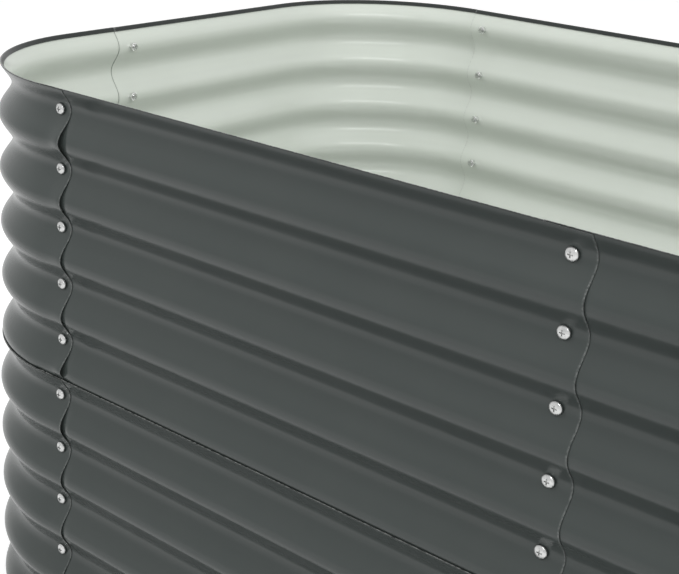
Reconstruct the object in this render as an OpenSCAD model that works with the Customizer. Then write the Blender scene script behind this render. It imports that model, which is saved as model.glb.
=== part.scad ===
// Two-tier raised garden bed: rounded-end ring of nested corrugated sheets, bolted at lapped seams.
// Z is up. The origin is on the ground under the middle of the bed. X runs along the long sides.
// The upper tier tucks down inside the lower one, and each western sheet laps outside its
// eastern neighbour, so every sheet stands out by its own small offset.

/* [Plan] */
// Width of the bed over the outermost crests
bed_w = 840; // [700:10:1200]
// Distance between the two bolt lines of a side sheet
side_l = 645; // [400:5:900]
// Bend radius of the corner sheets, to the middle of the corrugation
corner_r = 205; // [160:5:300]
// Length of the lap where two sheets are bolted together
lap = 46; // [36:2:80]
// Reach of a corner sheet past the bolts where it laps outside a side sheet
corner_reach = 15; // [12:1:30]
// Place of each end's seam, as a share of the way from the middle of the end to a corner's bend
end_share = 0.5; // [0:0.05:0.6]

/* [Sheet] */
// Height of one sheet, which is the height of a tier standing alone
sheet_h = 380; // [200:5:600]
// Thickness of the sheet, measured level
sheet_t = 0.8; // [0.6:0.1:1.2]
// Distance from one crest of the corrugation to the next
pitch = 68; // [50:1:90]
// Depth of the corrugation from crest to valley
depth = 16; // [10:1:20]
// How far the rim lies below the crest that it was cut from
rim_drop = 8; // [4:1:12]
// Least distance from the lowest bolt row to the lower edge of its sheet
edge_keep = 12; // [8:1:20]
// Flat facets in each wave of the corrugation, a multiple of four
wave_n = 16; // [8:4:24]

/* [Hem] */
// Thickness of the rolled hem along the top edge
hem_t = 2.4; // [1.8:0.1:4]
// Height of the rolled hem
hem_h = 5; // [4:0.5:9]

/* [Fasteners] */
// Thread diameter of the bolts
bolt_d = 6; // [4:0.5:8]
// Diameter of the domed bolt head
head_d = 13; // [10:0.5:16]
// Height of the domed bolt head
head_h = 3.6; // [2.6:0.1:5]
// Length of thread that shows past the nut
bolt_tip = 2; // [1:0.5:5]
// Width of the nut across its flats
nut_w = 10; // [9:0.5:14]
// Height of the nut
nut_h = 5; // [3:0.5:7]
// Width across the arms of the cross recess in the head
recess_w = 5.6; // [4:0.2:7]
// Depth of the cross recess
recess_h = 2; // [1.2:0.1:2.4]

/* [Brace] */
// Height of the flat bar that ties the two long walls together
brace_h = 20; // [16:1:30]
// Thickness of the bar
brace_t = 3; // [2:0.5:5]
// Distance of the bar from the bolt line of the seam that holds it
brace_off = 18; // [16:1:30]
// Length of each bent tab past the bolt line
brace_tab = 14; // [12:1:24]
// Inner radius of the bends of the bar
brace_bend = 4; // [2:0.5:6]

/* [Clearances] */
// Gap between two nested sheets, measured level
nest_gap = 0.2; // [0.1:0.05:0.5]
// Gap between the bolt and its nut, on the radius
thread_gap = 0.05; // [0.03:0.01:0.1]
// Gap between the bolt and the punched holes, on the radius
hole_gap = 0.4; // [0.2:0.1:1]
// Gap left under a seated head, nut or tab
seat_gap = 0.05; // [0.02:0.01:0.1]

/* [Hidden] */
amp = depth / 2;
// Waves that the upper tier stands above the lower one: as many as fit between the bolt rows
tier_waves = floor((sheet_h + rim_drop - edge_keep) / pitch - 0.5);
tier_rise = tier_waves * pitch;
bed_h = sheet_h + tier_rise;
level = sheet_t + nest_gap;
// Outward step of the lower tier, which makes room for its hem outside a lapped pair
tier_step = hem_t + level + nest_gap;
// Levels that each sheet lies in from the south-west corner sheet, which laps over all others
in_sw = 0;
in_s1 = 1;
in_s2 = 2;
in_se = 3;
in_nw = 1;
in_n1 = 2;
in_n2 = 3;
in_ne = 4;
// The outermost sheets set the middle of the bed: the south wall lies out by one level
// more than the north wall, and the west end by three levels more than the east end
mid_x = (in_se - in_sw) * level / 2;
mid_y = (in_nw - in_sw) * level / 2;
// Middle of the corrugation on the long walls and the ends, before the levels
wall_y = bed_w / 2 - amp - tier_step + mid_y;
arc_y = wall_y - corner_r;
seam_x = side_l;
arc_x = seam_x + lap / 2;
wall_x = arc_x + corner_r;
// The west seam lies south of the middle and the east seam north of it
end_seam = end_share * arc_y;
hole_r = bolt_d / 2 + hole_gap;
row_n = 2 * tier_waves + 1;
tier_row_n = tier_waves + 1;
// Reach of a punch that goes through one wall only
punch = 2 * (depth + in_ne * level);
recess_arm = 1.3;
nut_chamfer = 0.6;
dome_n = 6;
bend_n = 6;
paint = [0.31, 0.335, 0.33];
zinc = [0.78, 0.79, 0.8];

// Height of bolt row k, counted from 1 at the top: each row lies in an outer valley
function row_z(k) = bed_h + rim_drop - (k - 0.5) * pitch;
// Outward swing of the corrugation at height z
function wave(z) = amp * cos(360 * (bed_h + rim_drop - z) / pitch);
// How far a flat disc of radius r, bridging a valley, stands off its bottom: its rim meets a facet
function valley_lift(r) = let (at = r * wave_n / pitch, i = floor(at), part = at - i)
  amp * (1 - (1 - part) * cos(360 * i / wave_n) - part * cos(360 * (i + 1) / wave_n));
// Outward offset of a sheet that lies in by so many levels, in the upper tier (0) or lower tier (1)
function sheet_off(inward, tier) = tier * tier_step - inward * level;
// Heights of the profile's points between z0 and z1, at whole facets of the wave and at both ends
function grid(z0, z1) = let (step = pitch / wave_n, top = bed_h + rim_drop)
  concat([z0], [for (i = [ceil((top - z0) / step) - 1 : -1 : 0])
    let (z = top - i * step) if (z > z0 + 0.2 && z < z1 - 0.2) z], [z1]);
function backwards(v) = [for (i = [len(v) - 1 : -1 : 0]) v[i]];
function follow(zs, out) = [for (z = zs) [wave(z) + out, z]];
function arc(c, r, a0, a1, n) = [for (i = [0 : n]) let (a = a0 + (a1 - a0) * i / n)
  c + r * [cos(a), sin(a)]];

// Section of a sheet with a plain top edge, as [outward, up]
function plain_section(z0, z1, out) = let (zs = grid(z0, z1 - hem_t / 2))
  concat(follow(zs, out), follow(backwards(zs), out - sheet_t));

// Section of a sheet whose top edge is rolled over inwards
function hemmed_section(z0, z1, out) =
  let (
    z_roll = z1 - hem_t / 2,
    z_end = z1 - hem_h,
    roll_c = [wave(z_roll) + out - hem_t / 2, z_roll]
  )
  concat(
    follow(grid(z0, z_roll), out),
    [for (p = arc(roll_c, hem_t / 2, 0, 180, dome_n)) if (p[1] > z_roll + 0.01) p],
    follow(backwards(grid(z_end, z_roll)), out - hem_t),
    follow(backwards(grid(z0, z_end)), out - sheet_t)
  );

module section(tier, out, hemmed) {
  z0 = (1 - tier) * tier_rise;
  z1 = z0 + sheet_h;
  if (hemmed)
    polygon(hemmed_section(z0, z1, out));
  else
    polygon(plain_section(z0, z1, out));
}

// A straight stretch of sheet on a wall that faces south and stands at y = -face_y
module run(x0, x1, face_y, tier, out, hemmed) {
  translate([x0, -face_y, 0])
    rotate([90, 0, 90])
      mirror([1, 0, 0])
        linear_extrude(x1 - x0)
          section(tier, out, hemmed);
}

// One punch for each bolt row of a tier, through a wall that faces south
module punches_south(x, face_y, tier) {
  for (k = [1 : tier_row_n])
    translate([x, -face_y, row_z(k + tier * tier_waves)])
      rotate([90, 0, 0])
        cylinder(h = punch, r = hole_r, center = true, $fn = 32);
}

module punches_west(x, y, tier) {
  for (k = [1 : tier_row_n])
    translate([-x, y, row_z(k + tier * tier_waves)])
      rotate([0, 90, 0])
        cylinder(h = punch, r = hole_r, center = true, $fn = 32);
}

// A side sheet of the south wall between two bolt lines: its west end laps inside, its east end outside
module side_sheet(x_west, inward, tier) {
  out = sheet_off(inward, tier);
  color(paint)
    difference() {
      union() {
        run(x_west - lap / 2, x_west + side_l - lap / 2, wall_y, tier, out, true);
        run(x_west + side_l - lap / 2, x_west + side_l + lap / 2, wall_y, tier, out, false);
      }
      punches_south(x_west, wall_y, tier);
      punches_south(x_west + side_l, wall_y, tier);
    }
}

// A corner sheet in the south-west position. Its two flat ends lap the side sheet and the other corner,
// whose seam is at y = end_y. outer_side and outer_end say whether that end lies outside, where its
// hem is notched away.
module corner_sheet(inward, tier, end_y, outer_side, outer_end) {
  out = sheet_off(inward, tier);
  side_reach = outer_side ? corner_reach : lap / 2;
  color(paint)
    difference() {
      union() {
        run(-arc_x, -seam_x + side_reach, wall_y, tier, out, !outer_side);
        translate([-arc_x, -arc_y, 0])
          rotate([0, 0, 180])
            rotate_extrude(angle = 90, $fn = 72)
              translate([corner_r, 0])
                section(tier, out, true);
        rotate([0, 0, -90]) {
          run(lap / 2 - end_y, arc_y, wall_x, tier, out, true);
          run(-lap / 2 - end_y, lap / 2 - end_y, wall_x, tier, out, !outer_end);
        }
      }
      punches_south(-seam_x, wall_y, tier);
      punches_west(wall_x, end_y, tier);
    }
}

module to_north() {
  mirror([0, 1, 0])
    children();
}

module to_east() {
  mirror([1, 0, 0])
    children();
}

// Sets the finished ring in the middle of the bed
module placed() {
  translate([mid_x, mid_y, 0])
    children();
}

module corner_sw(tier) {
  placed() corner_sheet(in_sw, tier, -end_seam, true, true);
}

module corner_nw(tier) {
  placed() to_north() corner_sheet(in_nw, tier, end_seam, true, false);
}

module corner_se(tier) {
  placed() to_east() corner_sheet(in_se, tier, end_seam, false, true);
}

module corner_ne(tier) {
  placed() to_north() to_east() corner_sheet(in_ne, tier, -end_seam, false, false);
}

module side_s1(tier) {
  placed() side_sheet(-side_l, in_s1, tier);
}

module side_s2(tier) {
  placed() side_sheet(0, in_s2, tier);
}

module side_n1(tier) {
  placed() to_north() side_sheet(-side_l, in_n1, tier);
}

module side_n2(tier) {
  placed() to_north() side_sheet(0, in_n2, tier);
}

// Outward place of the outer face of the clamped sheets at row k, in the bottom of the valley
function grip_out(k, outer_in) = sheet_off(outer_in, k > tier_waves ? 1 : 0) - amp;
// Outward place of the inner face of the clamped sheets at row k
function grip_in(k, outer_in) = sheet_off(outer_in + 1, k > tier_row_n ? 1 : 0) - amp - sheet_t;
// Thickness of the brace's tab where row k holds one
function tab_at(k, braced) = braced && k == tier_row_n ? brace_t + seat_gap : 0;

// Domed head with its flat underside at zero, and a cross recess
module bolt_head() {
  brim = 0.22 * head_h;
  dome = [for (p = arc([0, 0], 1, 0, 90, dome_n)) [head_d / 2 * p[0], brim + (head_h - brim) * p[1]]];
  difference() {
    rotate_extrude($fn = 32)
      polygon(concat([[0, 0], [head_d / 2, 0]], dome));
    for (turn = [0, 90])
      rotate([0, 0, turn])
        translate([-recess_w / 2, -recess_arm / 2, head_h - recess_h])
          cube([recess_w, recess_arm, head_h]);
  }
}

// One bolt along -Y to the south: its axis is y, and face_y is the middle of the wall
module bolt(k, outer_in, face_y, braced) {
  head_at = grip_out(k, outer_in) + valley_lift(head_d / 2) + seat_gap;
  end_at = grip_in(k, outer_in) - tab_at(k, braced) - seat_gap - nut_h - bolt_tip;
  translate([0, -face_y, row_z(k)])
    rotate([90, 0, 0]) {
      translate([0, 0, head_at])
        bolt_head();
      translate([0, 0, end_at])
        cylinder(h = head_at - end_at, d = bolt_d, $fn = 32);
    }
}

// One hex nut with its corners turned off at the outer end, opposite the same bolt
module nut(k, outer_in, face_y, braced) {
  seat_at = grip_in(k, outer_in) - tab_at(k, braced) - seat_gap;
  corner = nut_w / sqrt(3);
  translate([0, -face_y, row_z(k)])
    rotate([90, 0, 0])
      translate([0, 0, seat_at - nut_h])
        difference() {
          intersection() {
            cylinder(h = nut_h, r = corner, $fn = 6);
            rotate_extrude($fn = 32)
              polygon([[0, 0], [corner - 2 * nut_chamfer, 0], [corner, nut_chamfer],
                [corner, nut_h], [0, nut_h]]);
          }
          translate([0, 0, -1])
            cylinder(h = nut_h + 2, r = bolt_d / 2 + thread_gap, $fn = 32);
        }
}

module bolt_row(outer_in, face_y, braced = false) {
  color(zinc)
    for (k = [1 : row_n])
      bolt(k, outer_in, face_y, braced);
}

module nut_row(outer_in, face_y, braced = false) {
  color(zinc)
    for (k = [1 : row_n])
      nut(k, outer_in, face_y, braced);
}

// Places what is made for the south wall at the seams of each wall
module at_south(x) {
  placed() translate([x, 0, 0]) children();
}

module at_north(x) {
  placed() to_north() translate([x, 0, 0]) children();
}

module at_west() {
  placed() translate([0, -end_seam, 0]) rotate([0, 0, -90]) children();
}

module at_east() {
  placed() translate([0, end_seam, 0]) rotate([0, 0, 90]) children();
}

// Quarter bend of the bar at its south end, from its tab to its long flat
function bend(r, tab_y, a0, a1) = [for (p = arc([brace_bend - brace_off, 0], r, a0, a1, bend_n))
  [p[0], tab_y + brace_t + brace_bend - p[1]]];
// The same bend at the north end
function bend_north(r, tab_y, a0, a1) = [for (p = bend(r, -tab_y, a0, a1)) [p[0], -p[1]]];

// Flat bar with two bent tabs, held by the middle seams' bolts of the row that joins the tiers
module cross_brace() {
  south = -wall_y - grip_in(tier_row_n, in_s1) + seat_gap;
  north = wall_y + grip_in(tier_row_n, in_n1) - seat_gap;
  color(zinc)
    placed()
      translate([0, 0, row_z(tier_row_n)])
        difference() {
          linear_extrude(brace_h, center = true)
            polygon(concat(
              [[brace_tab, south], [brace_tab, south + brace_t]],
              bend(brace_bend, south, 90, 180),
              bend_north(brace_bend, north, 180, 90),
              [[brace_tab, north - brace_t], [brace_tab, north]],
              bend_north(brace_bend + brace_t, north, 90, 180),
              bend(brace_bend + brace_t, south, 180, 90)
            ));
          rotate([90, 0, 0])
            cylinder(h = 2 * wall_y, r = hole_r, center = true, $fn = 32);
        }
}

corner_sw(0);  // upper_corner_sw
side_s1(0);  // upper_side_s1
side_s2(0);  // upper_side_s2
corner_se(0);  // upper_corner_se
corner_nw(0);  // upper_corner_nw
side_n1(0);  // upper_side_n1
side_n2(0);  // upper_side_n2
corner_ne(0);  // upper_corner_ne
corner_sw(1);  // lower_corner_sw
side_s1(1);  // lower_side_s1
side_s2(1);  // lower_side_s2
corner_se(1);  // lower_corner_se
corner_nw(1);  // lower_corner_nw
side_n1(1);  // lower_side_n1
side_n2(1);  // lower_side_n2
corner_ne(1);  // lower_corner_ne
cross_brace();
at_south(-seam_x) bolt_row(in_sw, wall_y);  // bolts_south_west
at_south(0) bolt_row(in_s1, wall_y, true);  // bolts_south_mid
at_south(seam_x) bolt_row(in_s2, wall_y);  // bolts_south_east
at_east() bolt_row(in_se, wall_x);  // bolts_east_end
at_north(-seam_x) bolt_row(in_nw, wall_y);  // bolts_north_west
at_north(0) bolt_row(in_n1, wall_y, true);  // bolts_north_mid
at_north(seam_x) bolt_row(in_n2, wall_y);  // bolts_north_east
at_west() bolt_row(in_sw, wall_x);  // bolts_west_end
at_south(-seam_x) nut_row(in_sw, wall_y);  // nuts_south_west
at_south(0) nut_row(in_s1, wall_y, true);  // nuts_south_mid
at_south(seam_x) nut_row(in_s2, wall_y);  // nuts_south_east
at_east() nut_row(in_se, wall_x);  // nuts_east_end
at_north(-seam_x) nut_row(in_nw, wall_y);  // nuts_north_west
at_north(0) nut_row(in_n1, wall_y, true);  // nuts_north_mid
at_north(seam_x) nut_row(in_n2, wall_y);  // nuts_north_east
at_west() nut_row(in_sw, wall_x);  // nuts_west_end
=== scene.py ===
"""Looks of the two-tier raised garden bed of corrugated sheets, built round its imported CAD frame.

Everything is in metres, in the frame's own axes: X along the long sides, Y across, Z up.
"""

import logging
import math
from dataclasses import dataclass, field
from enum import Enum

import bpy
import numpy as np
from mathutils import Matrix, Vector


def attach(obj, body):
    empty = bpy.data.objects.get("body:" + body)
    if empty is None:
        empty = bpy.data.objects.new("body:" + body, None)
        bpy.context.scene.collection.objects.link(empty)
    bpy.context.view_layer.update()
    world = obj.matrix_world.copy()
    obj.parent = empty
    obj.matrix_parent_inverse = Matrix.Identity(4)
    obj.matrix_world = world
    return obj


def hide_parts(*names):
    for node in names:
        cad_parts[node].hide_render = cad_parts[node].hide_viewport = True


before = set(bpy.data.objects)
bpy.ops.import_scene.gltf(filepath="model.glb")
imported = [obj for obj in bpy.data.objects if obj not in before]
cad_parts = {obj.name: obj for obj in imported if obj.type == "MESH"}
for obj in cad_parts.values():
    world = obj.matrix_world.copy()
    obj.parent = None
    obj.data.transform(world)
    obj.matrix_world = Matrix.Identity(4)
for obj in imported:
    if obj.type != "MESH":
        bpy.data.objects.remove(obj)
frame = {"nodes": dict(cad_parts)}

LOG = logging.getLogger("garden_bed")
TAU = 2.0 * math.pi

# A length too short to matter when places on a track are compared.
HAIR = 1e-9

Socket = bpy.types.NodeSocket
Colour = tuple[float, float, float]
Triple = tuple[float, float, float]
Range = tuple[float, float]


class Tier(Enum):
    """The two storeys of sheets. The value is how many steps a tier stands out."""

    UPPER = 0
    LOWER = 1


class Place(Enum):
    """A sheet's place in its tier: its name, and how it is turned from the south-west one."""

    @property
    def tag(self) -> str:
        """Name of the place in the frame's nodes."""
        return self.value[0]

    @property
    def turned(self) -> tuple[bool, bool]:
        """Whether the place is mirrored along X, and whether along Y."""
        return self.value[1:]


class Corner(Place):
    """The four rounded corners."""

    SOUTH_WEST = ("corner_sw", False, False)
    NORTH_WEST = ("corner_nw", False, True)
    SOUTH_EAST = ("corner_se", True, False)
    NORTH_EAST = ("corner_ne", True, True)


class Side(Place):
    """The four straight side sheets."""

    SOUTH_1 = ("side_s1", False, False)
    SOUTH_2 = ("side_s2", False, False)
    NORTH_1 = ("side_n1", False, True)
    NORTH_2 = ("side_n2", False, True)


class Face(Enum):
    """Which finish a face of a sheet takes: its slot number on the sheet's object."""

    OUTER = 0
    INNER = 1
    CUT = 2
    # The hem's outer face, which takes the darkened outer paint: painted shade.
    RIM = 3


class Kind(Enum):
    """What a shader group's socket carries."""

    VALUE = "NodeSocketFloat"
    VECTOR = "NodeSocketVector"


def smooth(x: np.ndarray, low: float, high: float) -> np.ndarray:
    """Eases from 0 at low to 1 at high: t squared times three minus two t, with t held to 0..1."""
    t = np.clip((x - low) / (high - low), 0.0, 1.0)
    return t * t * (3.0 - 2.0 * t)


@dataclass(frozen=True)
class BedSizes:
    """Sizes of the bed, the same as the CAD's.

    The corrugation is a cosine wave in height. side is the distance between two seams of a long wall,
    corner_reach is how far an outside corner sheet goes past its seam, and end_share says where an end's
    seam lies between the long axis and the bend. The rim is cut rim_drop below a crest. The outermost
    sheet lies east_levels in at the east end, and north_levels in at the north wall.
    """

    width: float = 0.840
    side: float = 0.645
    bend: float = 0.205
    lap: float = 0.046
    corner_reach: float = 0.015
    end_share: float = 0.5
    sheet_h: float = 0.380
    sheet_t: float = 0.0008
    pitch: float = 0.068
    depth: float = 0.016
    rim_drop: float = 0.008
    hem_t: float = 0.0024
    hem_h: float = 0.005
    nest_gap: float = 0.0002
    tier_waves: int = 5
    east_levels: int = 3
    north_levels: int = 1

    @property
    def amp(self) -> float:
        """Half the depth of the corrugation."""
        return self.depth / 2

    @property
    def rise(self) -> float:
        """Height of the upper tier's foot above the ground."""
        return self.tier_waves * self.pitch

    @property
    def height(self) -> float:
        """Height of the whole bed."""
        return self.rise + self.sheet_h

    @property
    def level(self) -> float:
        """Outward step from one nested sheet to the next."""
        return self.sheet_t + self.nest_gap

    @property
    def step(self) -> float:
        """Outward step of the lower tier."""
        return self.hem_t + self.level + self.nest_gap

    @property
    def middle(self) -> Range:
        """Where the ring's own middle lies in the frame: half of what its far sides lie in by."""
        return self.east_levels / 2 * self.level, self.north_levels / 2 * self.level

    @property
    def wall(self) -> float:
        """Distance from the ring's middle to the middle of a long wall's corrugation."""
        return self.width / 2 - self.amp - self.step + self.middle[1]

    @property
    def arc_y(self) -> float:
        """Distance of a bend's centre from the ring's long axis."""
        return self.wall - self.bend

    @property
    def arc_x(self) -> float:
        """Distance of a bend's centre from the ring's short axis."""
        return self.side + self.lap / 2

    @property
    def end_seam(self) -> float:
        """Distance of each end's seam from the long axis."""
        return self.end_share * self.arc_y

    @property
    def crest_z(self) -> float:
        """Height of the crest that the upper rim was cut from."""
        return self.height + self.rim_drop

    def wave(self, z: np.ndarray) -> np.ndarray:
        """Outward swing at height z: the amplitude times the cosine of one turn a pitch, 1 on a crest."""
        return self.amp * np.cos(TAU * (self.crest_z - z) / self.pitch)

    def crest(self, z: np.ndarray) -> np.ndarray:
        """1 on the crests and 0 in the valleys: half of one plus the wave's cosine."""
        return 0.5 + 0.5 * np.cos(TAU * (self.crest_z - z) / self.pitch)

    def foot(self, tier: Tier) -> float:
        """Height of a tier's lower edge."""
        return self.rise if tier is Tier.UPPER else 0.0

    def sheet_out(self, inward: int, tier: Tier) -> float:
        """Outward offset of a sheet that lies in by so many levels."""
        return tier.value * self.step - inward * self.level


@dataclass(frozen=True)
class Play:
    """How the sheets spring, sink and press at their laps. A pair is where a change starts and ends.

    spring is how far an upper corner sheet's free edge stands off on its crests, side_share is the share
    of it at an upper side sheet, and bell is how wide the move is. A sheet sinks by upper_sink or
    lower_sink beneath a corner sheet and by side_sink beneath a side sheet, and sink_edge is measured
    from the cover's edge. press is how far an upper sheet presses out against the lower tier's hem,
    press_bell is the size of that bell in height, and lap_clear is measured from the laps. The rest says
    where on its height a sheet may spring or sink.
    """

    spring: float = 0.0034
    side_share: float = 0.15
    bell: float = 0.014
    upper_sink: float = 0.0024
    lower_sink: float = 0.0040
    side_sink: float = 0.0007
    sink_edge: Range = (-0.002, 0.012)
    press: float = 0.0010
    press_bell: float = 0.010
    lap_clear: Range = (0.0, 0.020)
    crest_power: float = 1.4
    fade_least: float = 0.35
    rim_reach: float = 0.06
    rim_fade: float = 0.05
    foot_reach: float = 0.05
    foot_fade: float = 0.02
    hem_calm: Range = (0.018, 0.040)
    foot_calm: Range = (0.0, 0.02)
    tuck_calm: Range = (0.0035, 0.012)


# Finishes


@dataclass(frozen=True)
class Grain:
    """A noise: its scale per metre, its octaves, and how strong the finer octaves are."""

    scale: float
    detail: float
    rough: float


class Nodes:
    """A small helper that adds and links shader nodes in one tree."""

    def __init__(self, tree: bpy.types.NodeTree) -> None:
        """Keeps the tree and empties it.

        Args:
            tree: The material's or the group's node tree.
        """
        self.tree = tree
        tree.nodes.clear()

    def add(self, kind: str, **values: object) -> bpy.types.Node:
        """Adds a node and sets its inputs and properties.

        Args:
            kind: The node's type name.
            values: Properties of the node, or inputs by name with _ for a space, or numbered as i0, i1.

        Returns:
            The new node.
        """
        node = self.tree.nodes.new(kind)
        for key, value in values.items():
            if key[0] == "i" and key[1:].isdigit():
                self._put(node.inputs[int(key[1:])], value)
            elif hasattr(node, key):
                setattr(node, key, value)
            else:
                self._put(node.inputs[key.replace("_", " ")], value)
        return node

    def group(self, tree: bpy.types.NodeTree, **values: object) -> bpy.types.Node:
        """Places a shader group with its own values."""
        return self.add("ShaderNodeGroup", node_tree=tree, **values)

    def _put(self, socket: Socket, value: object) -> None:
        """Links a socket to another socket, or sets its value.

        Args:
            socket: The input to set.
            value: A socket or a plain value.
        """
        if isinstance(value, Socket):
            self.tree.links.new(value, socket)
        else:
            socket.default_value = value

    def link(self, source: Socket, target: Socket) -> None:
        """Links two sockets."""
        self.tree.links.new(source, target)

    def math(self, operation: str, *values: object, clamp: bool = False) -> Socket:
        """Adds a Math node.

        Args:
            operation: Its operation.
            values: Its inputs, sockets or numbers.
            clamp: Whether the result is held to 0..1.

        Returns:
            Its output.
        """
        node = self.tree.nodes.new("ShaderNodeMath")
        node.operation, node.use_clamp = operation, clamp
        for i, value in enumerate(values):
            self._put(node.inputs[i], value)
        return node.outputs[0]

    def times(self, a: object, b: object, clamp: bool = False) -> Socket:
        """Multiplies two values, and holds the product to 0..1 where asked."""
        return self.math("MULTIPLY", a, b, clamp=clamp)

    def weigh(self, a: Socket, b: Socket, share: float, clamp: bool = False) -> Socket:
        """Adds a share of one value to the rest of another, and holds the sum to 0..1 where asked."""
        return self.math("ADD", self.times(a, share), self.times(b, 1.0 - share), clamp=clamp)

    def fall(self, value: Socket, reach: Socket) -> Socket:
        """1 where a value is 0, falling evenly to 0 where it gets to the reach."""
        return self.math("SUBTRACT", 1.0, self.math("DIVIDE", value, reach), clamp=True)

    def remap(self, value: Socket, given: Range, wanted: Range = (0.0, 1.0)) -> Socket:
        """Maps a value from one range to another, held to that one.

        Args:
            value: The value to map.
            given: The range it comes in.
            wanted: The range it goes to.

        Returns:
            The mapped value.
        """
        node = self.add(
            "ShaderNodeMapRange", From_Min=given[0], From_Max=given[1], To_Min=wanted[0], To_Max=wanted[1]
        )
        self.link(value, node.inputs["Value"])
        return node.outputs["Result"]

    def noise(self, vector: Socket, grain: Grain) -> Socket:
        """Adds a noise texture.

        Args:
            vector: Where it is read.
            grain: The noise.

        Returns:
            Its value, 0..1.
        """
        node = self.add(
            "ShaderNodeTexNoise", Vector=vector, Scale=grain.scale, Detail=grain.detail, Roughness=grain.rough
        )
        return node.outputs[0]

    def stretch(self, vector: Socket, factors: Triple) -> Socket:
        """Stretches coordinates by three factors."""
        return self.add("ShaderNodeVectorMath", operation="MULTIPLY", i0=vector, i1=factors).outputs[0]

    def blend(self, mask: Socket, a: object, b: object) -> Socket:
        """Mixes colour a into colour b by a mask.

        Args:
            mask: 0 gives a and 1 gives b.
            a: First colour, or a socket.
            b: Second colour, or a socket.

        Returns:
            The mixed colour.
        """
        # A Mix node has sockets for several types under one name: 6 and 7 take its colours, and 2 gives one.
        return self.add("ShaderNodeMix", data_type="RGBA", i0=mask, i6=a, i7=b).outputs[2]


def shader_group(
    name: str, inputs: dict[str, Kind], outputs: dict[str, Kind]
) -> tuple[Nodes, bpy.types.Node, bpy.types.Node]:
    """Starts a shader node group with named inputs and outputs.

    Args:
        name: The group's name.
        inputs: For each input what it carries.
        outputs: For each output what it carries.

    Returns:
        The group's nodes, its input node and its output node.
    """
    tree = bpy.data.node_groups.new(name, "ShaderNodeTree")
    for way, sockets in (("INPUT", inputs), ("OUTPUT", outputs)):
        for label, kind in sockets.items():
            tree.interface.new_socket(name=label, in_out=way, socket_type=kind.value)
    nodes = Nodes(tree)
    return nodes, nodes.add("NodeGroupInput"), nodes.add("NodeGroupOutput")


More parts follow.
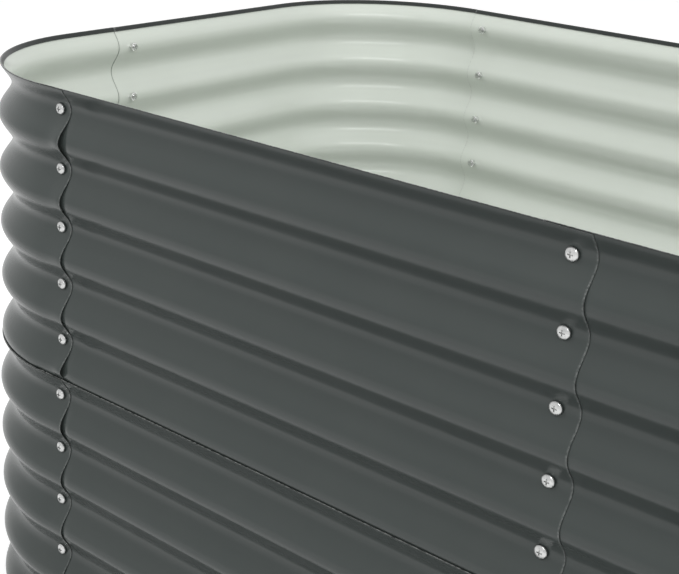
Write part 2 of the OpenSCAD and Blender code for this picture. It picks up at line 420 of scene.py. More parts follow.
@dataclass
class Effects:
    """The effects that more than one finish uses, each a shader node group.

    A stretch is three factors for a noise's coordinates, a range is what of a noise becomes 0 to 1, and
    a height is a bump's, in metres.
    """

    streaks: Grain = Grain(1.0, 3.0, 0.55)
    streak_stretch: Triple = (1.6, 130.0, 1.0)
    streak_share: float = 0.45
    mottle: Grain = Grain(7.0, 3.0, 0.55)
    rough_gain: float = 2.0
    ripples: Grain = Grain(1.0, 1.0, 0.4)
    ripple_stretch: Triple = (5.0, 34.0, 1.0)
    ripple_height: float = 0.0006
    peel: Grain = Grain(900.0, 1.0, 0.5)
    peel_height: float = 0.0001
    chips: Grain = Grain(420.0, 3.0, 0.6)
    chip_range: Range = (0.38, 0.66)
    blots: Grain = Grain(16.0, 4.0, 0.6)
    blot_range: Range = (0.42, 0.75)
    specks: Grain = Grain(1400.0, 1.0, 0.5)
    speck_range: Range = (0.66, 0.78)
    speck_share: float = 0.6
    dust_least: float = 0.2
    coating: bpy.types.NodeTree = field(init=False)
    edge: bpy.types.NodeTree = field(init=False)
    dust: bpy.types.NodeTree = field(init=False)

    def __post_init__(self) -> None:
        """Builds the groups once."""
        self.coating = self._coating()
        self.edge = self._edge()
        self.dust = self._dust()

    def _coating(self) -> bpy.types.NodeTree:
        """Rolled and coated sheet: long faint streaks along the rolling, fine orange peel and a mottle.

        Returns:
            A group that gives a tone mask, a roughness and a normal.
        """
        nodes, given, out = shader_group(
            "coated_sheet",
            {
                "Along": Kind.VECTOR,
                "Place": Kind.VECTOR,
                "Roughness": Kind.VALUE,
                "Spread": Kind.VALUE,
                "Peel": Kind.VALUE,
                "Ripple": Kind.VALUE,
            },
            {"Tone": Kind.VALUE, "Roughness": Kind.VALUE, "Normal": Kind.VECTOR},
        )
        along, place = given.outputs["Along"], given.outputs["Place"]
        streak = nodes.noise(nodes.stretch(along, self.streak_stretch), self.streaks)
        tone = nodes.weigh(streak, nodes.noise(place, self.mottle), self.streak_share)
        spread = nodes.times(nodes.math("SUBTRACT", tone, 0.5), given.outputs["Spread"])
        extra = nodes.times(spread, self.rough_gain)
        rough = nodes.math("ADD", given.outputs["Roughness"], extra, clamp=True)
        ripple = nodes.noise(nodes.stretch(along, self.ripple_stretch), self.ripples)
        low = nodes.add(
            "ShaderNodeBump", Height=ripple, Strength=given.outputs["Ripple"], Distance=self.ripple_height
        )
        peel = nodes.noise(place, self.peel)
        fine = nodes.add(
            "ShaderNodeBump", Height=peel, Strength=given.outputs["Peel"], Distance=self.peel_height,
            Normal=low.outputs[0],
        )
        nodes.link(tone, out.inputs["Tone"])
        nodes.link(rough, out.inputs["Roughness"])
        nodes.link(fine.outputs[0], out.inputs["Normal"])
        return nodes.tree

    def _edge(self) -> bpy.types.NodeTree:
        """Wear beside a cut edge: strongest on the edge, gone at the given width, broken up by fine noise.

        Returns:
            A group that gives a mask.
        """
        nodes, given, out = shader_group(
            "edge_wear",
            {"Gap": Kind.VALUE, "Place": Kind.VECTOR, "Width": Kind.VALUE, "Amount": Kind.VALUE},
            {"Mask": Kind.VALUE},
        )
        near = nodes.fall(given.outputs["Gap"], given.outputs["Width"])
        chips = nodes.remap(nodes.noise(given.outputs["Place"], self.chips), self.chip_range)
        mask = nodes.times(nodes.times(near, chips), given.outputs["Amount"], clamp=True)
        nodes.link(mask, out.inputs["Mask"])
        return nodes.tree

    def _dust(self) -> bpy.types.NodeTree:
        """Thin dust and water marks, more of it low down, as soft blots with fine specks.

        Returns:
            A group that gives a mask.
        """
        nodes, given, out = shader_group(
            "dust",
            {"Place": Kind.VECTOR, "Amount": Kind.VALUE, "Top": Kind.VALUE},
            {"Mask": Kind.VALUE},
        )
        place = given.outputs["Place"]
        low = nodes.fall(nodes.add("ShaderNodeSeparateXYZ", Vector=place).outputs["Z"], given.outputs["Top"])
        low = nodes.math("ADD", nodes.times(nodes.times(low, low), 1.0 - self.dust_least), self.dust_least)
        blots = nodes.remap(nodes.noise(place, self.blots), self.blot_range)
        specks = nodes.remap(nodes.noise(place, self.specks), self.speck_range, (0.0, self.speck_share))
        both = nodes.math("ADD", blots, specks)
        mask = nodes.times(nodes.times(both, low), given.outputs["Amount"], clamp=True)
        nodes.link(mask, out.inputs["Mask"])
        return nodes.tree


@dataclass(frozen=True)
class SheetPaint:
    """A coat on a sheet: its colour, how it wears at cut edges and how it catches the light.

    It runs from colour to light over the tone_range of the coating's tone. bared is the colour where it
    is worn off, up to wear_width from an edge, and dusty is the dust's, most of it below dust_top.
    """

    name: str
    colour: Colour
    light: Colour
    bared: Colour
    roughness: float
    peel: float
    ripple: float
    wear: float
    dust: float
    specular: float
    spread: float = 0.07
    tone_range: Range = (0.3, 0.7)
    wear_width: float = 0.0022
    dusty: Colour = (0.42, 0.40, 0.36)
    dust_top: float = 0.3
    dust_rough: float = 0.4
    ior: float = 1.5

    def material(self, effects: Effects) -> bpy.types.Material:
        """Builds the material.

        Args:
            effects: The shared shader groups.

        Returns:
            The material.
        """
        made = bpy.data.materials.new(self.name)
        made.use_nodes = True
        nodes = Nodes(made.node_tree)
        place = nodes.add("ShaderNodeTexCoord").outputs["Object"]
        along = nodes.add("ShaderNodeUVMap", uv_map="sheet_uv").outputs["UV"]
        gap = nodes.add("ShaderNodeAttribute", attribute_name="edge_gap").outputs["Fac"]
        coat = nodes.group(
            effects.coating, Along=along, Place=place,
            Roughness=self.roughness, Spread=self.spread, Peel=self.peel, Ripple=self.ripple,
        )
        edge = nodes.group(effects.edge, Gap=gap, Place=place, Width=self.wear_width, Amount=self.wear)
        dusted = nodes.group(effects.dust, Place=place, Amount=self.dust, Top=self.dust_top).outputs["Mask"]
        tone = nodes.remap(coat.outputs["Tone"], self.tone_range)
        colour = nodes.blend(tone, (*self.colour, 1.0), (*self.light, 1.0))
        colour = nodes.blend(dusted, colour, (*self.dusty, 1.0))
        colour = nodes.blend(edge.outputs["Mask"], colour, (*self.bared, 1.0))
        rough = nodes.math("ADD", coat.outputs["Roughness"], nodes.times(dusted, self.dust_rough), clamp=True)
        skin = nodes.add(
            "ShaderNodeBsdfPrincipled", Base_Color=colour, Roughness=rough, Normal=coat.outputs["Normal"]
        )
        skin.inputs["IOR"].default_value = self.ior
        skin.inputs["Specular IOR Level"].default_value = self.specular
        nodes.add("ShaderNodeOutputMaterial", Surface=skin.outputs[0])
        return made


@dataclass(frozen=True)
class BareSteel:
    """Plated steel left bare: cut edges, bolts, nuts and the bar.

    It runs from shade to colour by the tone of its cells, so many a metre, and by its fine grain.
    cell_share is the cells' part in it, and rough_below and rough_above are how far the roughness goes
    down and up from the one given.
    """

    name: str
    colour: Colour
    shade: Colour
    roughness: float
    grain: Grain
    cells: float
    metallic: float = 1.0
    cell_share: float = 0.5
    rough_below: float = 0.06
    rough_above: float = 0.08
    bump: float = 0.15
    bump_height: float = 0.0001
    dusty: Colour = (0.40, 0.38, 0.34)
    dust: float = 0.12
    dust_top: float = 0.3

    def material(self, effects: Effects) -> bpy.types.Material:
        """Builds the material: plating cells of slightly different tone, with fine grain over them.

        Args:
            effects: The shared shader groups.

        Returns:
            The material.
        """
        made = bpy.data.materials.new(self.name)
        made.use_nodes = True
        nodes = Nodes(made.node_tree)
        place = nodes.add("ShaderNodeTexCoord").outputs["Object"]
        cells = nodes.add("ShaderNodeTexVoronoi", Vector=place, Scale=self.cells)
        tone = nodes.add("ShaderNodeSeparateColor", Color=cells.outputs["Color"]).outputs[0]
        grain = nodes.noise(place, self.grain)
        mixed = nodes.weigh(tone, grain, self.cell_share, clamp=True)
        dusted = nodes.group(effects.dust, Place=place, Amount=self.dust, Top=self.dust_top).outputs["Mask"]
        colour = nodes.blend(mixed, (*self.shade, 1.0), (*self.colour, 1.0))
        colour = nodes.blend(dusted, colour, (*self.dusty, 1.0))
        limits = (self.roughness - self.rough_below, self.roughness + self.rough_above)
        rough = nodes.remap(mixed, (0.0, 1.0), limits)
        bump = nodes.add("ShaderNodeBump", Height=grain, Strength=self.bump, Distance=self.bump_height)
        skin = nodes.add(
            "ShaderNodeBsdfPrincipled", Base_Color=colour, Roughness=rough, Normal=bump.outputs[0]
        )
        skin.inputs["Metallic"].default_value = self.metallic
        nodes.add("ShaderNodeOutputMaterial", Surface=skin.outputs[0])
        return made


@dataclass
class Finishes:
    """All finishes of the bed, made once."""

    effects: Effects
    outer: bpy.types.Material = field(init=False)
    inner: bpy.types.Material = field(init=False)
    cut: bpy.types.Material = field(init=False)
    # rim is the hem's finish: the outer paint darkened, painted shade.
    rim: bpy.types.Material = field(init=False)
    zinc: bpy.types.Material = field(init=False)
    # The nuts' finish: a lighter copy of the zinc, painted light.
    bright: bpy.types.Material = field(init=False)
    bar: bpy.types.Material = field(init=False)

    def __post_init__(self) -> None:
        """Makes the seven materials."""
        self.outer = SheetPaint(
            "outer_paint", (0.0450, 0.0535, 0.0510), (0.0480, 0.0570, 0.0545), (0.34, 0.35, 0.34),
            roughness=0.24, peel=0.08, ripple=0.08, wear=0.5, dust=0.04, specular=0.27,
        ).material(self.effects)
        # The hem's roll takes the outer paint darkened to about half: painted shade on the rolled edge. Its
        # heavier wear makes the light line along the rim's top, which is partly wear and partly a painted
        # highlight.
        self.rim = SheetPaint(
            "rim_paint_painted_shade", (0.0210, 0.0250, 0.0240), (0.0240, 0.0285, 0.0270), (0.34, 0.35, 0.34),
            roughness=0.30, peel=0.08, ripple=0.08, wear=0.9, dust=0.04, specular=0.27,
        ).material(self.effects)
        self.inner = SheetPaint(
            "inner_coat", (0.57, 0.61, 0.555), (0.60, 0.64, 0.585), (0.30, 0.31, 0.30),
            roughness=0.17, peel=0.10, ripple=0.40, wear=0.5, dust=0.12, specular=0.5,
        ).material(self.effects)
        self.cut = BareSteel(
            "cut_edge", (0.48, 0.49, 0.48), (0.28, 0.29, 0.29),
            roughness=0.42, grain=Grain(700.0, 3.0, 0.6), cells=900.0, metallic=0.9,
        ).material(self.effects)
        self.zinc = BareSteel(
            "zinc_plate", (0.66, 0.66, 0.65), (0.40, 0.41, 0.41),
            roughness=0.27, grain=Grain(900.0, 3.0, 0.6), cells=420.0,
        ).material(self.effects)
        # The nuts' zinc is the bolts' plating made lighter: painted light for the light the nuts catch inside
        # the bed.
        self.bright = BareSteel(
            "bright_zinc", (0.88, 0.88, 0.87), (0.64, 0.65, 0.65),
            roughness=0.24, grain=Grain(900.0, 3.0, 0.6), cells=420.0,
        ).material(self.effects)
        self.bar = BareSteel(
            "galvanised", (0.66, 0.68, 0.69), (0.44, 0.46, 0.47),
            roughness=0.38, grain=Grain(500.0, 3.0, 0.6), cells=110.0,
        ).material(self.effects)


# Sheets


@dataclass
class Track:
    """The line that a sheet follows in plan, in the south-west position, as whole arrays.

    x and y are on the middle of the corrugation, out_x and out_y point outwards, and run is metres from
    the start. It goes west along the south wall, round the bend, and north along the end.
    """

    x: np.ndarray
    y: np.ndarray
    out_x: np.ndarray
    out_y: np.ndarray
    run: np.ndarray

    @staticmethod
    def straight(x0: float, x1: float, wall: float, marks: np.ndarray) -> "Track":
        """A stretch of the south wall.

        Args:
            x0: Where it starts, its east end.
            x1: Where it ends, its west end.
            wall: Distance of the wall from the long axis.
            marks: The shares 0..1 of the stretch at which it has points.

        Returns:
            The track: x is x0 plus the share of the way to x1, and y is minus the wall.
        """
        x = x0 + (x1 - x0) * marks
        flat = np.zeros_like(x)
        return Track(x, flat - wall, flat, flat - 1.0, x0 - x)

    @staticmethod
    def bend(centre: Range, radius: float, count: int, start: float) -> "Track":
        """The quarter turn from the south wall to the west end.

        Args:
            centre: Centre of the turn along X and along Y.
            radius: Its radius.
            count: Number of its steps.
            start: Run of metres at its start.

        Returns:
            The track: centre plus radius times the cosine and sine of an angle from 270 down to 180 degrees.
        """
        angle = np.linspace(1.5 * math.pi, math.pi, count + 1)
        east, north = np.cos(angle), np.sin(angle)
        run = start + radius * (1.5 * math.pi - angle)
        return Track(centre[0] + radius * east, centre[1] + radius * north, east, north, run)

    @staticmethod
    def end(y0: float, y1: float, wall: float, marks: np.ndarray, start: float) -> "Track":
        """A stretch of the west end, going north.

        Args:
            y0: Where it starts.
            y1: Where it ends.
            wall: Distance of the end from the short axis.
            marks: The shares 0..1 of the stretch at which it has points.
            start: Run of metres at its start.

        Returns:
            The track: y is y0 plus the share of the way to y1, and x is minus the wall.
        """
        y = y0 + (y1 - y0) * marks
        flat = np.zeros_like(y)
        return Track(flat - wall, y, flat - 1.0, flat, start + y - y0)

    def join(self, other: "Track") -> "Track":
        """This track with another after it, whose first point is this one's last."""
        names = ("x", "y", "out_x", "out_y", "run")
        return Track(*(np.concatenate([getattr(self, name), getattr(other, name)[1:]]) for name in names))

    def part(self, keep: np.ndarray) -> "Track":
        """The points of the track where keep is true."""
        return Track(self.x[keep], self.y[keep], self.out_x[keep], self.out_y[keep], self.run[keep])


def close_marks(length: float, fine: float, reach: float, coarse: float) -> np.ndarray:
    """Shares of a stretch with close points near both ends and wide ones between.

    Args:
        length: Length of the stretch.
        fine: Spacing near the ends.
        reach: How far the close points go in from each end.
        coarse: Spacing between them.

    Returns:
        The shares, from 0 to 1: evenly spaced runs of points laid end to end.
    """
    head = np.arange(0.0, reach, fine)
    body = np.linspace(reach, length - reach, max(2, int(math.ceil((length - 2 * reach) / coarse))))
    tail = length - head[::-1]
    return np.concatenate([head, body, tail]) / length


@dataclass
class Plate:
    """A strip of sheet metal: a front and a back curve carried along a track, closed all round.

    A curve is rows of outward offset and height, and faces are the finishes of the front and the back.
    """

    front: np.ndarray
    back: np.ndarray
    faces: tuple[Face, Face]

    @property
    def loop(self) -> np.ndarray:
        """The closed outline: the front curve, and the back one the other way."""
        return np.concatenate([self.front, self.back[::-1]])

    def grid(
        self, track: Track, bulge: np.ndarray, sizes: BedSizes
    ) -> tuple[np.ndarray, np.ndarray, np.ndarray]:
        """Carries the outline along the track.

        A point is the track's point, plus its outward direction times the outline's offset, the wave at
        its height and the bulge there; its height is the outline's.

        Args:
            track: The line in plan.
            bulge: Extra outward offset for each point of the track and each point of the outline.
            sizes: The bed's sizes.

        Returns:
            Vertices, quads and a finish number for each quad.
        """
        loop = self.loop
        reach = (loop[:, 0] + sizes.wave(loop[:, 1]))[None, :] + bulge
        x = track.x[:, None] + track.out_x[:, None] * reach
        y = track.y[:, None] + track.out_y[:, None] * reach
        z = np.broadcast_to(loop[None, :, 1], x.shape)
        points = np.stack([x, y, z], -1).reshape(-1, 3)
        places, around, half = len(track.x), len(loop), len(self.front)
        row, column = np.meshgrid(np.arange(places - 1), np.arange(around), indexing="ij")
        here, above = row * around + column, row * around + (column + 1) % around
        sides = np.stack([here, above, above + around, here + around], -1).reshape(-1, 4)
        kind = np.where(column < half - 1, self.faces[0].value, self.faces[1].value)
        kind = np.where((column == half - 1) | (column == around - 1), Face.CUT.value, kind).reshape(-1)
        rung = np.arange(half - 1)
        near = np.stack([rung, around - 1 - rung, around - 2 - rung, rung + 1], -1)
        far = near[:, ::-1] + (places - 1) * around
        kinds = np.concatenate([kind, np.full(2 * len(rung), Face.CUT.value)])
        return points, np.concatenate([sides, near, far]), kinds


@dataclass
class Sheet:
    """One corrugated sheet: a plain wall with a rolled hem along the part of its rim that isn't lapped.

    It lies inward levels in. per_pitch is how many steps its wall has a pitch, rim_wear is how many times
    over the distance to the rim counts for wear, so that a light line runs along the rim's top that is partly
    wear and partly a painted highlight of the rolled hem, flare is how far its free edge springs off, and
    recess is how far it sinks beneath the sheet that covers it.
    """

    name: str
    sizes: BedSizes
    tier: Tier
    inward: int
    turned: tuple[bool, bool]
    play: Play
    per_pitch: int = 24
    hem_steps: int = 8
    leg_steps: int = 3
    # Along the rim's top this wear also paints a light line: partly wear, partly a painted highlight.
    rim_wear: float = 5.0
    sharp_degrees: float = 40.0
    flare: float = 0.0
    recess: float = 0.0

    @property
    def low(self) -> float:
        """Height of the sheet's foot."""
        return self.sizes.foot(self.tier)

    @property
    def high(self) -> float:
        """Height of the sheet's rim."""
        return self.low + self.sizes.sheet_h

    def track(self) -> tuple[Track, np.ndarray]:
        """The sheet's line in plan, and where its top edge is hemmed."""
        raise NotImplementedError

    def bulge(self, track: Track, z: np.ndarray) -> np.ndarray:
        """Extra outward offset at each point of the track and height."""
        raise NotImplementedError

    def _wall(self) -> Plate:
        """The wall's two faces: straight up at offsets 0 and minus the thickness, to the start of the hem.

        Returns:
            The wall.
        """
        sizes, top = self.sizes, self.high - self.sizes.hem_t / 2
        z = np.linspace(self.low, top, int(round((top - self.low) / sizes.pitch * self.per_pitch)) + 1)
        out = np.full_like(z, sizes.sheet_out(self.inward, self.tier))
        front, back = np.stack([out, z], -1), np.stack([out - sizes.sheet_t, z], -1)
        return Plate(front, back, (Face.OUTER, Face.INNER))

    def _hem(self) -> Plate:
        """The rolled hem: a half circle over the top and a leg down the inside, one thickness thick.

        The front is a half circle of half the hem's thickness and then the leg, and the back is the same
        with a radius smaller by the sheet's thickness.

        Returns:
            The hem.
        """
        sizes, radius = self.sizes, self.sizes.hem_t / 2
        top, centre = self.high - radius, sizes.sheet_out(self.inward, self.tier) - radius
        angle = np.linspace(0.0, math.pi, self.hem_steps + 1)
        leg = np.linspace(top, self.high - sizes.hem_h, self.leg_steps + 1)[1:]
        curves = []
        for away in (radius, radius - sizes.sheet_t):
            roll = np.stack([centre + away * np.cos(angle), top + away * np.sin(angle)], -1)
            down = np.stack([np.full_like(leg, centre - away), leg], -1)
            curves.append(np.concatenate([roll, down]))
        # The hem's front takes the rim finish, the outer paint darkened as painted shade.
        return Plate(curves[0], curves[1], (Face.RIM, Face.INNER))

    def build(self, finishes: Finishes) -> bpy.types.Object:
        """Makes the sheet's object in place of its CAD node.

        Args:
            finishes: The bed's finishes.

        Returns:
            The object.
        """
        track, hemmed = self.track()
        points, quads, kinds, runs = [], [], [], []
        count = 0
        for plate, line in ((self._wall(), track), (self._hem(), track.part(hemmed))):
            heights = plate.loop[:, 1]
            corners, faces, finish_of = plate.grid(line, self.bulge(line, heights), self.sizes)
            points.append(corners)
            quads.append(faces + count)
            kinds.append(finish_of)
            runs.append(np.repeat(line.run, len(heights)))
            count += len(corners)
        return self._mesh(*(np.concatenate(parts) for parts in (points, quads, kinds, runs)), finishes)

    def _edge_gap(self, points: np.ndarray, run: np.ndarray) -> np.ndarray:
        """Each vertex's distance to the nearest cut edge or, so many times over, to the rim.

        Args:
            points: Vertices.
            run: Run of metres along the track for each vertex.

        Returns:
            The least of the distances to both ends, to the foot and to the rim times rim_wear.
        """
        gap = np.minimum(run - run.min(), run.max() - run)
        gap = np.minimum(gap, points[:, 2] - self.low)
        # Counting the rim's distance over runs the edge wear along the rim's top as a light line: partly
        # wear, partly a painted highlight on the rolled hem.
        return np.minimum(gap, (self.high - points[:, 2]) * self.rim_wear)

    def _mesh(
        self, points: np.ndarray, quads: np.ndarray, kinds: np.ndarray, run: np.ndarray, finishes: Finishes
    ) -> bpy.types.Object:
        """Turns the arrays into the finished piece.

        Args:
            points: Vertices in the south-west position.
            quads: Its faces.
            kinds: The finish number of each face.
            run: Run of metres along the track for each vertex.
            finishes: The bed's finishes.

        Returns:
            The object, with a map of metres along and up, and each vertex's edge gap.
        """
        flips = np.where(self.turned, -1.0, 1.0)
        points = points * np.array([*flips, 1.0]) + np.array([*self.sizes.middle, 0.0])
        if self.turned[0] != self.turned[1]:
            quads = quads[:, ::-1]
        mesh = bpy.data.meshes.new(self.name)
        mesh.vertices.add(len(points))
        mesh.vertices.foreach_set("co", points.astype(np.float32).reshape(-1))
        mesh.loops.add(quads.size)
        mesh.loops.foreach_set("vertex_index", quads.astype(np.int32).reshape(-1))
        mesh.polygons.add(len(quads))
        mesh.polygons.foreach_set("loop_start", np.arange(0, quads.size, 4, dtype=np.int32))
        mesh.polygons.foreach_set("material_index", kinds.astype(np.int32))
        mesh.update(calc_edges=True)
        mesh.validate()
        mesh.shade_smooth()
        mesh.set_sharp_from_angle(angle=math.radians(self.sharp_degrees))
        uv = np.stack([run, points[:, 2]], -1)[quads.reshape(-1)]
        mesh.uv_layers.new(name="sheet_uv").data.foreach_set("uv", uv.astype(np.float32).reshape(-1))
        gap = self._edge_gap(points, run).astype(np.float32)
        mesh.attributes.new("edge_gap", "FLOAT", "POINT").data.foreach_set("value", gap)
        for finish in (finishes.outer, finishes.inner, finishes.cut, finishes.rim):
            mesh.materials.append(finish)
        made = bpy.data.objects.new(self.name, mesh)
        bpy.context.scene.collection.objects.link(made)
        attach(made, "root")
        return made

    def _calm(self, z: np.ndarray) -> np.ndarray:
        """Where a sheet may spring off its neighbour or sink.

        It is the crest share to a power, times a fade, times an ease to 0 at the stiff hem and another at
        the foot. The fade is its least share, plus the rest of it times a share that is 1 as far in as the
        first crest from the rim and from the foot, and dies away exponentially from there. An upper sheet
        also stays put where the lower tier's hem lies close to its laps.

        Args:
            z: Heights.

        Returns:
            The share of the move at each height.
        """
        sizes, play = self.sizes, self.play
        near_rim = np.exp(-np.maximum(self.high - z - play.rim_reach, 0.0) / play.rim_fade)
        near_foot = np.exp(-np.maximum(z - self.low - play.foot_reach, 0.0) / play.foot_fade)
        fade = play.fade_least + (1.0 - play.fade_least) * np.minimum(near_rim + near_foot, 1.0)
        free = sizes.crest(z) ** play.crest_power * fade
        free = free * smooth(self.high - z, *play.hem_calm) * smooth(z - self.low, *play.foot_calm)
        if self.tier is Tier.UPPER:
            free = free * smooth(np.abs(z - sizes.sheet_h + sizes.hem_h / 2), *play.tuck_calm)
        return free

    def _press(self, z: np.ndarray) -> np.ndarray:
        """How far an upper sheet presses out against the lower tier's hem.

        It is the press times e to the minus square of the height from that hem's top over the bell.

        Args:
            z: Heights.

        Returns:
            The press at each height, all 0 for a lower sheet.
        """
        reach = self.play.press if self.tier is Tier.UPPER else 0.0
        return reach * np.exp(-(((z - self.sizes.sheet_h) / self.play.press_bell) ** 2))

    def _shift(self, move: np.ndarray, clear: np.ndarray, z: np.ndarray) -> np.ndarray:
        """The track's moves times the calm at each height, plus its clear shares times the press there."""
        return move[:, None] * self._calm(z)[None, :] + clear[:, None] * self._press(z)[None, :]


@dataclass
class CornerSheet(Sheet):
    """A corner sheet: a flat lap on the side wall, a quarter bend, and a flat up to the end's seam.

    outer_side and outer_end say whether its laps lie outside, and end_y is where the end's seam is.
    """

    outer_side: bool = True
    outer_end: bool = True
    end_y: float = 0.0
    lap_points: int = 20
    bend_steps: int = 44
    end_points: int = 22

    def track(self) -> tuple[Track, np.ndarray]:
        """The corner's line in plan, from its side lap round to its end lap.

        Returns:
            The track, and where its top edge is hemmed: all but the laps that lie outside.
        """
        sizes = self.sizes
        reach = sizes.corner_reach if self.outer_side else sizes.lap / 2
        marks = np.linspace(0.0, 1.0, self.lap_points)
        first = Track.straight(-sizes.side + reach, -sizes.arc_x, sizes.wall, marks)
        turn = Track.bend((-sizes.arc_x, -sizes.arc_y), sizes.bend, self.bend_steps, first.run[-1])
        north = self.end_y + sizes.lap / 2
        lap_mark = 1.0 - sizes.lap / (north + sizes.arc_y)
        marks = np.unique(np.append(np.linspace(0.0, 1.0, self.end_points), lap_mark))
        last = Track.end(-sizes.arc_y, north, sizes.arc_x + sizes.bend, marks, turn.run[-1])
        track = first.join(turn).join(last)
        hemmed = np.ones(len(track.run), bool)
        if self.outer_side:
            hemmed &= track.run >= first.run[-1] - HAIR
        if self.outer_end:
            hemmed &= track.run <= track.run[-1] - sizes.lap + HAIR
        return track, hemmed

    def bulge(self, track: Track, z: np.ndarray) -> np.ndarray:
        """An outside lap springs off on its crests; a lap beneath a side sheet stays put.

        The spring is the flare times e to the minus square of the run from the free edge over the bell,
        times the calm. The press against the lower hem starts beyond the laps, where there is room for it.

        Args:
            track: The line in plan.
            z: Heights.

        Returns:
            The outward move at each point of the track and each height.
        """
        sizes, play = self.sizes, self.play
        free = np.exp(-((track.run / play.bell) ** 2)) if self.outer_side else np.zeros_like(track.run)
        past_side = smooth(-sizes.arc_x - track.x, *play.lap_clear)
        past_end = smooth(self.end_y - sizes.lap / 2 - track.y, *play.lap_clear)
        return self._shift(self.flare * free, past_side * past_end, z)


@dataclass
class SideSheet(Sheet):
    """A straight side sheet whose east end laps outside its neighbour and whose west end lies beneath one.

    x_west is its western seam, and over_reach is how far its cover goes past that. Its points are fine
    apart out to fine_reach from its ends, and coarse apart between.
    """

    x_west: float = 0.0
    over_reach: float = 0.0
    fine: float = 0.004
    fine_reach: float = 0.084
    coarse: float = 0.02

    def track(self) -> tuple[Track, np.ndarray]:
        """The side's line in plan, from its east edge to its west edge.

        Returns:
            The track, and where its top edge is hemmed: all but its east lap.
        """
        sizes = self.sizes
        length = sizes.side + sizes.lap
        marks = close_marks(length, self.fine, self.fine_reach, self.coarse)
        marks = np.unique(np.append(marks, sizes.lap / length))
        x0 = self.x_west + sizes.side + sizes.lap / 2
        track = Track.straight(x0, x0 - length, sizes.wall, marks)
        return track, track.run >= sizes.lap - HAIR

    def bulge(self, track: Track, z: np.ndarray) -> np.ndarray:
        """The east lap springs off a little, and the west end gives way beneath the sheet that covers it.

        The spring is as on a corner. The west end sinks by the recess times the calm, in full under the
        cover and easing out beyond the cover's edge. The press starts beyond the laps, as on a corner.

        Args:
            track: The line in plan.
            z: Heights.

        Returns:
            The outward move at each point of the track and each height.
        """
        sizes, play = self.sizes, self.play
        free = np.exp(-((track.run / play.bell) ** 2))
        past = track.x - (self.x_west + self.over_reach)
        sunk = 1.0 - smooth(past, *play.sink_edge)
        short = self.x_west + sizes.side - sizes.lap / 2 - track.x
        clear = smooth(past, *play.lap_clear) * smooth(short, *play.lap_clear)
        return self._shift(self.flare * free - self.recess * sunk, clear, z)


@dataclass
class SheetRing:
    """The ring of eight sheets of one tier."""

    sizes: BedSizes
    tier: Tier
    play: Play = Play()

    def sheets(self) -> list[Sheet]:
        """The tier's sheets, with how far each lies in and how it sits at its seams.

        Returns:
            The eight sheets.
        """
        sizes, play, tag = self.sizes, self.play, self.tier.name.lower()
        upper = self.tier is Tier.UPPER
        spring, sink = (play.spring, play.upper_sink) if upper else (0.0, play.lower_sink)
        # Place, levels in, the end's seam, and whether the side lap and the end lap lie outside.
        corners = (
            (Corner.SOUTH_WEST, 0, -sizes.end_seam, True, True),
            (Corner.NORTH_WEST, 1, sizes.end_seam, True, False),
            (Corner.SOUTH_EAST, 3, sizes.end_seam, False, True),
            (Corner.NORTH_EAST, 4, -sizes.end_seam, False, False),
        )
        # Place, levels in, the western seam, and whether a corner sheet covers that end.
        sides = (
            (Side.SOUTH_1, 1, -sizes.side, True),
            (Side.SOUTH_2, 2, 0.0, False),
            (Side.NORTH_1, 2, -sizes.side, True),
            (Side.NORTH_2, 3, 0.0, False),
        )
        made: list[Sheet] = [
            CornerSheet(
                f"{tag}_{place.tag}_sheet", sizes, self.tier, inward, place.turned, play,
                flare=spring, outer_side=outer_side, outer_end=outer_end, end_y=end_y,
            )
            for place, inward, end_y, outer_side, outer_end in corners
        ]
        for place, inward, x_west, under_corner in sides:
            made.append(
                SideSheet(
                    f"{tag}_{place.tag}_sheet", sizes, self.tier, inward, place.turned, play,
                    flare=spring * play.side_share,
                    recess=sink if under_corner else play.side_sink,
                    x_west=x_west,
                    over_reach=sizes.corner_reach if under_corner else sizes.lap / 2,
                )
            )
        return made

    def build(self, finishes: Finishes) -> None:
        """Makes every sheet in place of its CAD node.

        Args:
            finishes: The bed's finishes.
        """
        for sheet in self.sheets():
            made = sheet.build(finishes)
            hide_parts(sheet.name.removesuffix("_sheet"))
            LOG.info("%s: %d faces", made.name, len(made.data.polygons))


# Fasteners and bar


@dataclass
class Hardware:
    """The bolts, the nuts and the bar, which keep their CAD shape and get their plating."""

    nodes: dict[str, bpy.types.Object]

    def dress(self, finishes: Finishes) -> None:
        """Gives each node its finish.

        Args:
            finishes: The bed's finishes.
        """
        # The nuts take the lighter copy of the zinc, which is painted light.
        coats = {"bolts_": finishes.zinc, "nuts_": finishes.bright, "cross_brace": finishes.bar}
        for name, node in sorted(self.nodes.items()):
            for start, finish in coats.items():
                if name.startswith(start):
                    self._coat(node, finish)

    @staticmethod
    def _coat(node: bpy.types.Object, finish: bpy.types.Material) -> None:
        """Puts a finish in every material slot of a node.

        Args:
            node: The node.
            finish: Its finish.
        """
        for slot in node.material_slots:
            slot.material = finish
        LOG.info("%s: %s", node.name, finish.name)


# Studio


@dataclass(frozen=True)
class Lamp:
    """A soft rectangular lamp that looks at a point, and that glossy surfaces mirror or not."""

    name: str
    place: Triple
    target: Triple
    size: Range
    power: float
    mirrored: bool

    def build(self) -> None:
        """Makes the lamp."""
        data = bpy.data.lights.new(self.name, "AREA")
        data.shape, data.energy = "RECTANGLE", self.power
        data.size, data.size_y = self.size
        made = bpy.data.objects.new(self.name, data)
        made.location = self.place
        aim = Vector(self.target) - Vector(self.place)
        made.rotation_euler = aim.to_track_quat("-Z", "Y").to_euler()
        made.visible_glossy = self.mirrored
        bpy.context.scene.collection.objects.link(made)
        LOG.info("lamp %s", self.name)


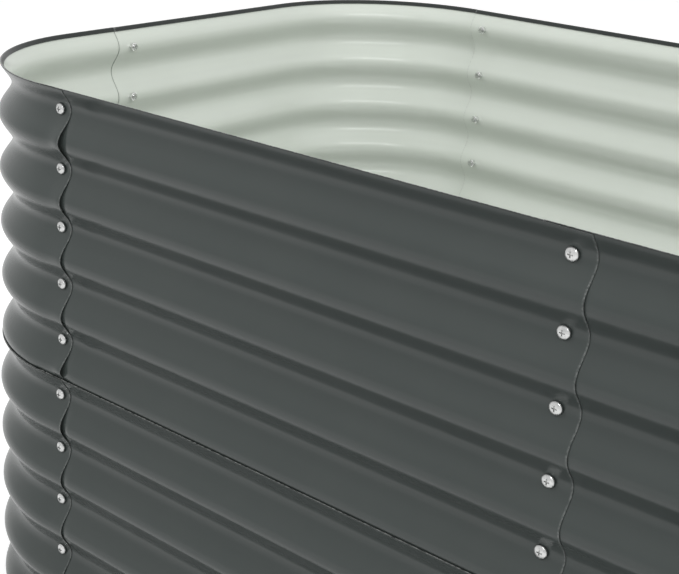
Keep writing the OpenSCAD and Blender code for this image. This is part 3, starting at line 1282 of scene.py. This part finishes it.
@dataclass
class Studio:
    """The pale floor, the white surround and the lamps.

    fill is the surround's light on the object. The floor's colour goes patch_spread up and down in soft
    patches, and floor_lift is the light of its own that it shows where it is seen.
    """

    fill: float = 0.62
    floor_colour: float = 0.80
    floor_lift: float = 0.48
    floor_size: float = 14.0
    patches: Grain = Grain(3.0, 2.0, 0.5)
    patch_range: Range = (0.3, 0.7)
    patch_spread: float = 0.01
    lamps: tuple[Lamp, ...] = (
        Lamp("key", (-1.6, -2.1, 2.7), (-0.3, 0.0, 0.4), size=(2.2, 1.4), power=32.0, mirrored=False),
        Lamp("top", (1.7, 0.2, 2.9), (-0.6, 0.0, 0.5), size=(2.4, 1.8), power=38.0, mirrored=False),
        Lamp("strip", (1.35, -1.4, 2.3), (-0.75, 0.3, 0.6), size=(2.8, 0.08), power=20.0, mirrored=True),
    )

    def build(self) -> None:
        """Makes the floor, the world and the lamps."""
        self._floor()
        self._world()
        for lamp in self.lamps:
            lamp.build()

    @staticmethod
    def _seen(nodes: Nodes) -> Socket:
        """1 for rays from the camera and for mirrored and passed-through ones, else 0.

        Args:
            nodes: The nodes to add it to.

        Returns:
            Its socket.
        """
        path = nodes.add("ShaderNodeLightPath")
        seen = nodes.math("MAXIMUM", path.outputs["Is Camera Ray"], path.outputs["Is Glossy Ray"])
        return nodes.math("MAXIMUM", seen, path.outputs["Is Transmission Ray"])

    def _floor(self) -> None:
        """A large flat floor, lifted a little where it is seen, so that it keeps its shadows."""
        half = self.floor_size / 2
        mesh = bpy.data.meshes.new("floor")
        corners = [(-half, -half, 0.0), (half, -half, 0.0), (half, half, 0.0), (-half, half, 0.0)]
        mesh.from_pydata(corners, [], [(0, 1, 2, 3)])
        made = bpy.data.materials.new("studio_floor")
        made.use_nodes = True
        nodes = Nodes(made.node_tree)
        place = nodes.add("ShaderNodeTexCoord").outputs["Object"]
        tones = (self.floor_colour - self.patch_spread, self.floor_colour + self.patch_spread)
        tone = nodes.remap(nodes.noise(place, self.patches), self.patch_range, tones)
        colour = nodes.add("ShaderNodeCombineColor", Red=tone, Green=tone, Blue=tone).outputs[0]
        skin = nodes.add("ShaderNodeBsdfDiffuse", Color=colour)
        glow = nodes.add("ShaderNodeEmission", Strength=nodes.times(self._seen(nodes), self.floor_lift))
        both = nodes.add("ShaderNodeAddShader", i0=skin.outputs[0], i1=glow.outputs[0])
        nodes.add("ShaderNodeOutputMaterial", Surface=both.outputs[0])
        mesh.materials.append(made)
        floor = bpy.data.objects.new("floor", mesh)
        bpy.context.scene.collection.objects.link(floor)

    def _world(self) -> None:
        """A white surround: plain white where it is seen, and the fill light elsewhere."""
        world = bpy.data.worlds.new("studio_world")
        bpy.context.scene.world = world
        world.use_nodes = True
        nodes = Nodes(world.node_tree)
        level = nodes.remap(self._seen(nodes), (0.0, 1.0), (self.fill, 1.0))
        sky = nodes.add("ShaderNodeBackground", Color=(1.0, 1.0, 1.0, 1.0), Strength=level)
        nodes.add("ShaderNodeOutputWorld", Surface=sky.outputs[0])


@dataclass(frozen=True)
class PhotoCamera:
    """The camera at the photograph's angle, with the shift that its cropped framing needs.

    yaw is from +Y towards -X, pitch is downwards, and roll turns it about its view, all in radians.
    focal_px and image_w are in pixels, and sensor is in millimetres.
    """

    place: Triple = (0.56523, -1.38485, 1.06615)
    yaw: float = 0.7465
    pitch: float = 0.30826
    roll: float = 0.03467
    focal_px: float = 1445.6
    image_w: int = 679
    shift: Range = (0.12, -0.10)
    sensor: float = 36.0
    clip: Range = (0.05, 60.0)

    def build(self) -> None:
        """Makes the camera, turned by its yaw, its pitch and its roll in that order."""
        data = bpy.data.cameras.new("photo_camera")
        data.sensor_width = self.sensor
        data.lens = self.focal_px / self.image_w * self.sensor
        data.shift_x, data.shift_y = self.shift
        data.clip_start, data.clip_end = self.clip
        yaw_sin, yaw_cos = math.sin(self.yaw), math.cos(self.yaw)
        pitch_sin, pitch_cos = math.sin(self.pitch), math.cos(self.pitch)
        ahead = Vector((-yaw_sin * pitch_cos, yaw_cos * pitch_cos, -pitch_sin))
        right = Vector((yaw_cos, yaw_sin, 0.0))
        up = right.cross(ahead)
        roll_sin, roll_cos = math.sin(self.roll), math.cos(self.roll)
        right, up = roll_cos * right + roll_sin * up, roll_cos * up - roll_sin * right
        turn = Matrix((right, up, -ahead)).transposed().to_4x4()
        camera = bpy.data.objects.new("photo_camera", data)
        camera.matrix_world = Matrix.Translation(self.place) @ turn
        bpy.context.scene.collection.objects.link(camera)
        bpy.context.scene.camera = camera
        LOG.info("camera at %s", self.place)


@dataclass
class GardenBed:
    """The whole bed on its frame."""

    sizes: BedSizes
    nodes: dict[str, bpy.types.Object]

    def build(self, finishes: Finishes) -> None:
        """Builds both tiers and dresses the hardware.

        Args:
            finishes: The bed's finishes.
        """
        for tier in Tier:
            SheetRing(self.sizes, tier).build(finishes)
        Hardware(self.nodes).dress(finishes)


def main() -> None:
    """Builds the bed and its studio in order."""
    logging.basicConfig(level=logging.INFO, format="%(name)s: %(message)s")
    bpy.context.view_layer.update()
    bpy.context.scene.view_settings.view_transform = "Standard"
    PhotoCamera().build()
    Studio().build()
    GardenBed(BedSizes(), frame["nodes"]).build(Finishes(Effects()))


if __name__ == "__main__":
    main()
